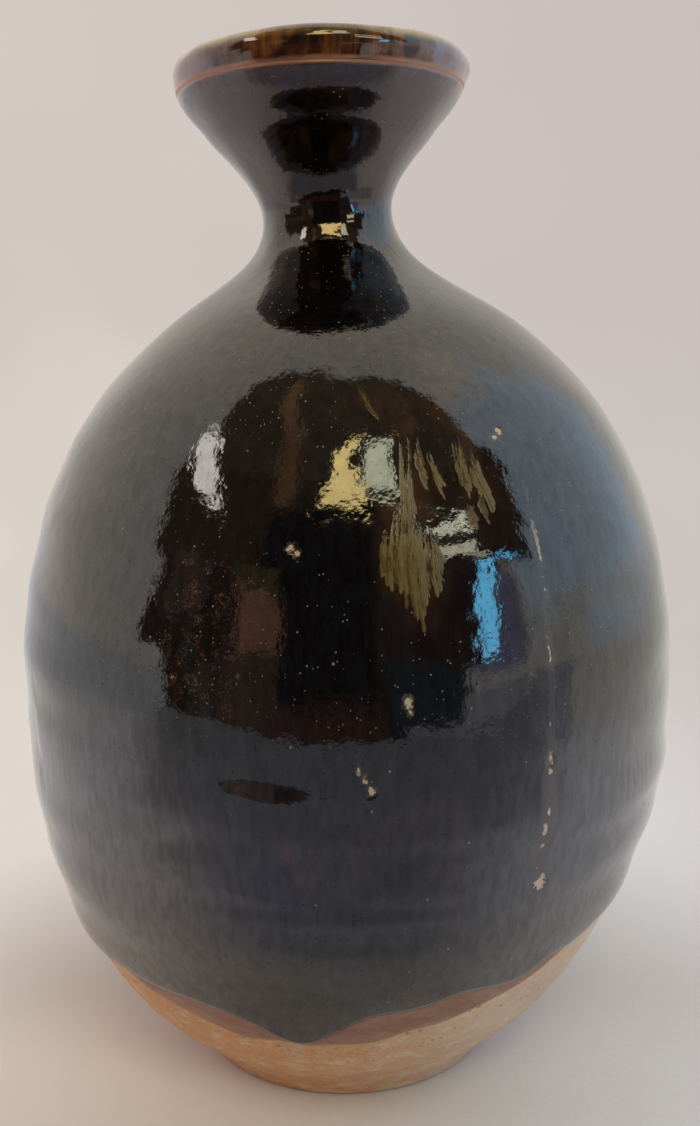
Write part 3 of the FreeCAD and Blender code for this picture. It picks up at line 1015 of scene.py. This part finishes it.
AMBER = (0.23, 0.075, 0.015)
DARK_AMBER = (0.028, 0.009, 0.004)
LIP_BLACK = (0.014, 0.007, 0.005)
OCHRE = (0.42, 0.32, 0.15)
# Lilac and mauve below are painted reflections of the pale tent at the lip's sides.
LILAC_REFLECTION = (0.19, 0.15, 0.20)
MAUVE_REFLECTION = (0.17, 0.095, 0.085)


def lip_material():
    """The same glaze where it ran thin over the lip: amber and rust, with dark rivulets, in front; towards
    the sides a painted lilac and mauve reflection of the pale tent.
    """
    material, graph = new_material("amber_lip_glaze")
    order = graph.value_of("over_rim")
    rivulets = graph.noise(620.0, 4.0, 0.65, 0.3, up=0.10)
    patches = graph.noise(150.0, 3.0, 0.5, 0.5, up=1.6)
    mottle = graph.noise(420.0, 3.0, 0.6)
    ripple = graph.noise(620.0, 2.0, 0.5, up=0.5)

    # Amber glaze shows in front; towards the sides the painted lilac and mauve reflection shows instead.
    reach = graph.shifted(graph.value_of("front"), mottle, 0.5)
    glassy = graph.layers(DARK_AMBER, [
        (graph.ramp(rivulets, 0.40, 0.74), AMBER),
        (graph.ramp(patches, 0.50, 0.64, 0.0, 0.8), LIP_BLACK),
    ])
    top = graph.times(graph.ramp(order, 0.20, 0.33), graph.ramp(rivulets, 0.30, 0.52, 0.35, 1.0))
    line = graph.ramp(graph.shifted(order, mottle, 0.03), 0.058, 0.022)
    colour = graph.layers(LILAC_REFLECTION, [
        (graph.ramp(mottle, 0.35, 0.65), MAUVE_REFLECTION),
        (graph.ramp(reach, 0.40, 0.62), glassy),
        (graph.times(top, graph.ramp(reach, 0.95, 0.70, 0.2, 1.0)), OCHRE),
        (graph.ramp(order, 0.62, 0.85), DARK_BROWN),
        (graph.times(line, graph.ramp(patches, 0.66, 0.40, 0.45, 1.0)), RIDGE_ORANGE),
    ])
    rough = graph.ramp(ripple, 0.3, 0.7, 0.03, 0.07)
    relief = graph.bump(rivulets, 0.012, graph.bump(ripple, 0.02))
    graph.surface(colour, rough, relief, IOR=1.62)
    return material


INNER_BLACK = (0.010, 0.006, 0.004)
INNER_BROWN = (0.07, 0.032, 0.012)


def inner_glaze_material():
    """Thin brown glaze, cloudy and a little less glossy."""
    material, graph = new_material("brown_inner_glaze")
    clouds = graph.noise(90.0, 4.0, 0.6, up=0.4)
    colour = graph.blend(graph.ramp(clouds, 0.35, 0.7), INNER_BLACK, INNER_BROWN)
    rough = graph.ramp(clouds, 0.3, 0.7, 0.06, 0.16)
    graph.surface(colour, rough, graph.bump(graph.noise(500.0, 2.0, 0.5), 0.01), IOR=1.6)
    return material


WARM_TAN = (0.62, 0.33, 0.15)
FLASHED_CLAY = (0.62, 0.51, 0.40)
CLAY_BROWN = (0.47, 0.23, 0.11)
CLAY_ORANGE = (0.60, 0.25, 0.085)
CLAY_CREAM = (0.76, 0.60, 0.44)
SAND = (0.80, 0.63, 0.45)
GRIT = (0.20, 0.12, 0.07)


def clay_material():
    """Bare fired clay: sandy, warm tan, flashed paler to one side, with turning lines and grits."""
    material, graph = new_material("bare_stoneware")
    sand = graph.noise(2600.0, 4.0, 0.7)
    cloudy = graph.noise(70.0, 3.0, 0.55)
    lines = graph.noise(1500.0, 3.0, 0.6, across=0.06)
    patches = graph.noise(380.0, 3.0, 0.6, up=1.5)
    grits = graph.specks(700.0, 0.2, 0.28, 2.2)

    x_place = graph.xyz(graph.place())[0]
    flash = graph.ramp(graph.plus(x_place, cloudy, 0.012), -0.008, 0.034)
    warm = graph.times(graph.ramp(patches, 0.44, 0.60, 0.0, 0.75), graph.ramp(flash, 0.2, 0.9, 1.0, 0.2))
    colour = graph.layers(WARM_TAN, [
        (flash, FLASHED_CLAY),
        (graph.ramp(cloudy, 0.4, 0.7, 0.0, 0.5), CLAY_BROWN),
        (warm, CLAY_ORANGE),
        (graph.ramp(patches, 0.44, 0.34, 0.0, 0.45), CLAY_CREAM),
        (graph.ramp(sand, 0.35, 0.7, 0.0, 0.45), SAND),
        (graph.times(grits, 0.6), GRIT),
    ])
    rough = graph.ramp(sand, 0.3, 0.7, 0.62, 0.9)
    relief = graph.bump(sand, 0.04, graph.bump(lines, 0.06))
    graph.surface(colour, rough, graph.bump(grits, 0.05, relief))
    return material


WASH_BROWN = (0.24, 0.105, 0.062)
WASH_PINK = (0.34, 0.19, 0.14)
WASH_FLECK = (0.42, 0.24, 0.16)
WASH_EDGE = (0.42, 0.23, 0.12)


def wash_material():
    """Thin iron wash: pinkish brown, flecked, and oranger along its lower edge."""
    material, graph = new_material("iron_wash")
    fine = graph.noise(1600.0, 4.0, 0.65)
    broad = graph.noise(160.0, 3.0, 0.6, up=2.0)
    edge = graph.ramp(graph.value_of("above_wash_line"), 0.0, 0.7)
    colour = graph.layers(WASH_BROWN, [
        (graph.ramp(broad, 0.35, 0.65), WASH_PINK),
        (graph.ramp(fine, 0.4, 0.7, 0.0, 0.4), WASH_FLECK),
    ])
    rough = graph.ramp(fine, 0.3, 0.7, 0.38, 0.6)
    graph.surface(graph.blend(edge, WASH_EDGE, colour), rough, graph.bump(fine, 0.03))
    return material


ASH_BROWN = (0.045, 0.020, 0.007)
OLIVE = (0.130, 0.094, 0.025)
PALE_OLIVE = (0.20, 0.155, 0.05)


def ash_material():
    """Second glaze: olive gold in the middle of each streak, brown to black at its edges."""
    material, graph = new_material("olive_ash_glaze")
    core, tint, olive = (graph.value_of(name) for name in ("core", "tint", "olive"))
    fibres = graph.noise(2300.0, 3.0, 0.6, up=0.10)
    blots = graph.noise(650.0, 3.0, 0.6, up=0.4)
    body = graph.shifted(graph.shifted(core, fibres, 1.8), blots, 1.9)
    strength = graph.times(graph.ramp(body, 0.25, 0.85), graph.ramp(tint, 0.0, 0.8, 0.45, 1.0))
    strength = graph.times(strength, graph.ramp(olive, 0.0, 1.0, 0.3, 1.0))
    colour = graph.layers(BLACK, [
        (graph.ramp(core, 0.0, 0.5), ASH_BROWN),
        (strength, OLIVE),
        (graph.times(strength, graph.ramp(fibres, 0.55, 0.75)), PALE_OLIVE),
    ])
    rough = graph.ramp(strength, 0.0, 1.0, 0.07, 0.34)
    relief = graph.bump(blots, 0.03, graph.bump(fibres, 0.03))
    graph.surface(colour, rough, relief, IOR=1.5)
    return material


# --- studio ---

# What the glaze mirrors, as patches of light round the pot: side from and to, how far both shift per
# degree of elevation (degrees), elevation from and to, softness of the edges, colour. The pot stands in
# a pale tent, open at the front to a dim room with a few bright windows.
TENT_PATCHES = [
    (-200, -60, 0, -4, 70, 5, (1.10, 1, 0.92)),
    (-200, -58, 0, -13, -3, 1.5, (0.88, 0.86, 0.88)),
    (62, 94, 0, 6.5, 64, 2, (0.98, 1.20, 1.42)),
    (90, 134, 0, 0, 40, 5, (0.98, 1.16, 1.34)),
    (90, 124, 0, 36, 58, 5, (1, 1.18, 1.34)),
    (62, 125, 0, 56, 72, 8, (1.3, 1.2, 1.08)),
    (158, 200, 0, -40, 32, 14, (0.66, 0.60, 0.56)),
    (-200, -158, 0, -40, 32, 14, (0.68, 0.61, 0.56)),
    (-26, 22, 0, -44, -10, 2, (0.06, 0.042, 0.038)),
    (-54, 34, 0, -24, -8, 2, (0.06, 0.042, 0.038)),
    (40, 60, 0, 0, 15.5, 2.5, (0.44, 0.42, 0.60)),
    (-62, 39, 0, -10, 4, 1.2, (0.075, 0.05, 0.042)),
    (-73, 42.5, 0.3, 3, 15, 1.2, (0.085, 0.055, 0.045)),
    (-73, 56, 0, 14, 18, 1, (0.085, 0.055, 0.045)),
    (-75, 71, 0, 17, 46, 1.4, (0.13, 0.08, 0.055)),
    (-80, 60, 0, 74, 85, 2, (0.20, 0.145, 0.10)),
    (-60, 66, 0, 45, 66, 2, (0.18, 0.13, 0.09)),
    (-66, 0, -1.2, 44, 66, 2, (0.18, 0.13, 0.09)),
    (-92, 70, 0, 64, 78, 2.5, (0.20, 0.145, 0.10)),
    (-30, 10, 0, -44, 36, 3, (0.03, 0.025, 0.025)),
    (14, 40, 0, -11.5, 3, 1.5, (0.06, 0.085, 0.095)),
    (18, 80, 0, -19, -11.5, 1.2, (0.50, 0.50, 0.55)),
    (38, 80, 0, -19, -4, 2, (0.62, 0.62, 0.68)),
    (-25, 12, 0, -20, -9, 2, (0.14, 0.058, 0.046)),
    (-31, -22, -0.45, 38, 60, 2.5, (0.52, 0.27, 0.13)),
    (-41, -26, -1.6, 58, 77, 3, (0.62, 0.36, 0.18)),
    (-66, -50, 0, 9, 19, 1.5, (0.19, 0.13, 0.11)),
    (-37.5, -23, 0, 4.5, 15.5, 1.2, (0.62, 0.30, 0.19)),
    (-38, -22, 0, 16, 21, 1, (0.20, 0.16, 0.08)),
    (-52, -44, 0, -12, 1, 1, (0.16, 0.11, 0.095)),
    (-42, -23, 0, -14, 4, 1.2, (0.19, 0.12, 0.09)),
    (-65.5, -52.5, -1, 33.6, 48, 1, (6.3, 5.8, 5.5)),
    (8, 23.5, 0.15, 39, 55.5, 1, (4.8, 4.9, 3.4)),
    (10, 25, 0.9, 53, 57.5, 0.8, (4.8, 4.9, 3.4)),
    (-13, 8, 0.7, 36, 41, 0.8, (7.6, 5.8, 2.3)),
    (-7, 6, 0.1, 40, 48, 0.8, (7.6, 5.8, 2.3)),
    (-6.5, 2, -0.1, 47, 54.5, 0.8, (7.6, 5.8, 2.3)),
    (-7.5, 2, 1.5, 53.5, 60.5, 0.8, (7.6, 5.8, 2.3)),
    (27.5, 51, 0, 33, 35.6, 0.5, (5.6, 5.6, 4.3)),
    (29, 50, 0, 22.5, 28.8, 0.6, (4.2, 4.1, 3)),
    (43, 55, 0, 20.3, 21.4, 0.4, (3.4, 3.4, 2.6)),
    (57.5, 66, 0, 18.3, 19.3, 0.4, (1.2, 4.6, 7.4)),
    (44, 50, 0.3, 4.5, 18.5, 0.8, (1.2, 4.6, 7.4)),
]
TENT_COLOUR = (1.02, 0.97, 0.90)

# The dim room is full of small lights here (side and elevation from and to), as cells over the unit
# sphere of directions.
DIM_ROOM = (-64.0, -34.0, -9.0, 21.0)
DIM_ROOM_EDGE = 1.5
LIGHT_CELLS = 40.0
WARM_LIGHT = (3.4, 1.1, 0.5)
COOL_LIGHT = (1.0, 1.5, 1.1)

# The plain backdrop that the camera sees: left and right colours, above the horizon, below, and low down.
BACKDROP_HIGH = ((0.665, 0.595, 0.55), (0.595, 0.53, 0.505))
BACKDROP_MIDDLE = ((0.73, 0.665, 0.60), (0.61, 0.565, 0.54))
BACKDROP_LOW = ((0.585, 0.50, 0.437), (0.50, 0.475, 0.46))
BACKDROP_FOLDS = (0.57, 0.51, 0.48)


def patch_mask(graph, side, elevation, patch):
    side_from, side_to, lean, low, high, soft = patch[:-1]
    upright = side
    if lean:
        upright = graph.plus(side, graph.math("SUBTRACT", elevation, low), -lean)
    return graph.times(graph.band(upright, side_from, side_to, soft), graph.band(elevation, low, high, soft))


def room_lights(graph, way, side, elevation):
    """Small round lights, here and there in the dim room: where they are, and their colours."""
    distance, pick, hue = graph.loose_cells(way, LIGHT_CELLS)
    lit = graph.times(graph.ramp(distance, 0.28, 0.18), graph.math("LESS_THAN", pick, 0.45))
    left, right, low, high = DIM_ROOM
    lit = graph.times(lit, graph.band(side, left, right, DIM_ROOM_EDGE))
    lit = graph.times(lit, graph.band(elevation, low, high, DIM_ROOM_EDGE))
    return lit, graph.blend(graph.math("GREATER_THAN", hue, 0.55), WARM_LIGHT, COOL_LIGHT)


def backdrop_colour(graph, way, x, elevation):
    """Plain pale cloth as the camera sees it, with painted light: a little warmer to the left and darker low
    down.
    """
    across = graph.ramp(x, -0.26, 0.26)
    folds = graph.noise(7.0, 2.0, 0.5, vector=way)
    pairs = (BACKDROP_HIGH, BACKDROP_MIDDLE, BACKDROP_LOW)
    high, middle, low = (graph.blend(across, *pair) for pair in pairs)
    return graph.layers(high, [
        (graph.ramp(elevation, 4.0, -6.0), middle),
        (graph.ramp(elevation, -14.0, -30.0), low),
        (graph.ramp(folds, 0.35, 0.65, 0.0, 0.25), BACKDROP_FOLDS),
    ])


def tent_world():
    """Light from a pale tent all round, with a dim opening at the front. The camera itself sees plain
    backdrop wherever it points, so every view has the same pale background."""
    world = bpy.data.worlds.new("light_tent")
    bpy.context.scene.world = world
    world.use_nodes = True
    graph = Graph(world.node_tree)
    way = graph.add("ShaderNodeTexCoord").outputs["Generated"]
    x, y, z = graph.xyz(way)
    side = graph.side(x, y)
    elevation = graph.math("DEGREES", graph.math("ARCSINE", z))
    patches = [(patch_mask(graph, side, elevation, patch), patch[-1]) for patch in TENT_PATCHES]
    colour = graph.layers(TENT_COLOUR, [*patches, room_lights(graph, way, side, elevation)])
    tent = graph.add("ShaderNodeBackground", {"Color": colour})
    plain = graph.add("ShaderNodeBackground", {"Color": backdrop_colour(graph, way, x, elevation)})
    seen = graph.add("ShaderNodeLightPath").outputs["Is Camera Ray"]
    graph.finish(graph.mix(seen, tent, plain), "ShaderNodeOutputWorld")


# The cloth on the floor, in metres: where it ends in front of the pot, where it fades into the backdrop
# at its sides and over what width, how much wider it grows towards the front, and where it ends behind.
CLOTH_FRONT = 0.238
CLOTH_SIDE = 0.022
CLOTH_FADE = 0.140
CLOTH_SPREAD = 1.5
CLOTH_BACK = 0.16
# Painted light on the cloth: brighter and warmer to the left, dimmer and bluer to the right.
CLOTH_LIT_LEFT = (0.86, 0.84, 0.89)
CLOTH_LIT_RIGHT = (0.76, 0.78, 0.90)
# Painted shadows on the cloth: over the cloth in front, and round and behind the pot.
CLOTH_SHADOW_IN_FRONT = (0.38, 0.40, 0.46)
CLOTH_SHADOW_BEHIND = (0.45, 0.44, 0.45)


def floor_material():
    """Pale cloth that fades into the backdrop, with painted light and shade: brighter and warmer to the
    left, dimmer and bluer to the right, a painted shadow round and behind the pot and another over the cloth
    in front."""
    material, graph = new_material("pale_cloth_floor")
    place = graph.place()
    across, along, _ = graph.xyz(place)
    out = graph.vector_math("LENGTH", place)["Value"]
    # Painted shadow, darker close round the pot and mostly behind it.
    shadow_near_pot = graph.ramp(out, 0.095, 0.028, 0.0, 0.85)
    behind = graph.times(shadow_near_pot, graph.ramp(along, -0.020, 0.016, 0.30, 1.0))
    # The cloth's painted light left and right, then its painted shadows in front and behind.
    colour = graph.layers(CLOTH_LIT_LEFT, [
        (graph.ramp(across, -0.06, 0.06), CLOTH_LIT_RIGHT),
        (graph.ramp(along, -0.045, -0.090), CLOTH_SHADOW_IN_FRONT),
        (behind, CLOTH_SHADOW_BEHIND),
    ])
    weave = graph.bump(graph.noise(900.0, 3.0, 0.6), 0.05)
    cloth = graph.add("ShaderNodeBsdfPrincipled", {"Base Color": colour, "Roughness": 0.9, "Normal": weave})
    in_front = graph.math("MAXIMUM", graph.math("SUBTRACT", -0.03, along), 0.0)
    beyond = graph.plus(graph.math("ABSOLUTE", across), in_front, -CLOTH_SPREAD)
    keep = graph.ramp(beyond, CLOTH_SIDE + CLOTH_FADE, CLOTH_SIDE)
    keep = graph.times(keep, graph.ramp(along, -CLOTH_FRONT - 0.004, -CLOTH_FRONT + 0.004))
    keep = graph.times(keep, graph.ramp(along, CLOTH_BACK + 0.1, CLOTH_BACK - 0.1))
    graph.finish(graph.mix(keep, graph.add("ShaderNodeBsdfTransparent"), cloth))
    return material


def make_floor():
    """A disc in rings, a little wider than the cloth."""
    radii = np.array([20.0, 40.0, 80.0, 160.0, 420.0])[:, None]
    turn = np.radians(np.linspace(0.0, 360.0, 96, endpoint=False))[None, :]
    points = np.stack(np.broadcast_arrays(radii * np.sin(turn), -radii * np.cos(turn), 0.0), -1)
    faces = grid_faces(len(radii), turn.shape[1])
    faces.append(list(range(turn.shape[1]))[::-1])
    floor = make_object("floor", points.reshape(-1, 3), faces, floor_material())
    for polygon in floor.data.polygons:
        if polygon.normal.z < 0.0:
            polygon.flip()


CAMERA_PLACE = (0.3, -171.9, 95.45)
CAMERA_DOWN = 9.05          # degrees below level
CAMERA_LENS = 39.9          # for the usual 36 mm sensor on the picture's long side


def make_camera():
    data = bpy.data.cameras.new("camera")
    data.lens = CAMERA_LENS
    data.clip_start = 0.005
    data.clip_end = 60.0
    camera = bpy.data.objects.new("camera", data)
    camera.location = Vector(CAMERA_PLACE) * MM
    camera.rotation_euler = (math.radians(90.0 - CAMERA_DOWN), 0.0, 0.0)
    bpy.context.scene.collection.objects.link(camera)
    bpy.context.scene.camera = camera


# --- assembly ---

def assemble():
    pieces = [
        (make_clay(clay_material()), "stoneware_body", "bare_clay"),
        (make_outer_glaze(dark_glaze_material()), "outer_glaze", "dark_glaze"),
        (make_lip(lip_material()), "lip_glaze", "amber_glaze"),
        (make_liner(inner_glaze_material()), "liner_glaze", "inner_glaze"),
        (make_wash(wash_material()), "wash_band", "iron_wash"),
        (make_runs(ash_material()), "ash_glaze_runs", "ash_glaze"),
    ]
    for piece, node, slot in pieces:
        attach(piece, "root")
        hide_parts(node)


tent_world()
make_floor()
make_camera()
assemble()
bpy.context.scene.view_settings.view_transform = "Standard"
